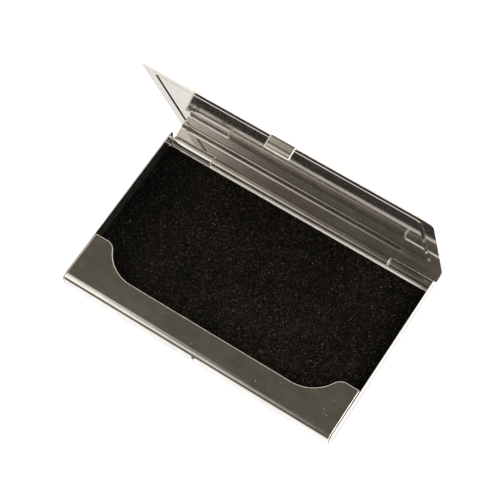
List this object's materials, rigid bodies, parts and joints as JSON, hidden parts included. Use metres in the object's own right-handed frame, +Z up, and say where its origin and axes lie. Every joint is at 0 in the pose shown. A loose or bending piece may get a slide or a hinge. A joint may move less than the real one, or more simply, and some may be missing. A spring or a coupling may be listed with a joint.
{
  "type": "business card case",
  "caption": "Slim polished steel card case, standing open: shallow tray with a rolled front retainer and black flocked floor, and a flat hinged lid with an embossed border and a catch tongue.",
  "frame": {"origin": "middle of the tray's flat underside", "axes": "+Z up, +Y towards the hinge, +X along the width to the right as seen from the front"},
  "size_m": [0.094, 0.0638, 0.06],
  "materials": {
    "polished_steel": "mirror polished stainless sheet with fine handling scratches",
    "pin_steel": "drawn wire, bevelled ends",
    "liner_film": "black self-adhesive backing sheet, matt",
    "black_flock": "short black flock with a few grey specks"
  },
  "bodies": {
    "tray": {"tray_shell": "polished_steel", "hinge_pin": "pin_steel", "liner_backing": "liner_film", "liner_flock": "black_flock"},
    "lid": {"lid_shell": "polished_steel"}
  },
  "joints": [
    {"name": "lid_hinge", "type": "hinge", "parent": "tray", "child": "lid", "pos_m": [0, 0.029, 0.0014], "axis": [1, 0, 0], "range_deg": [-13, 75.9]}
  ]
}
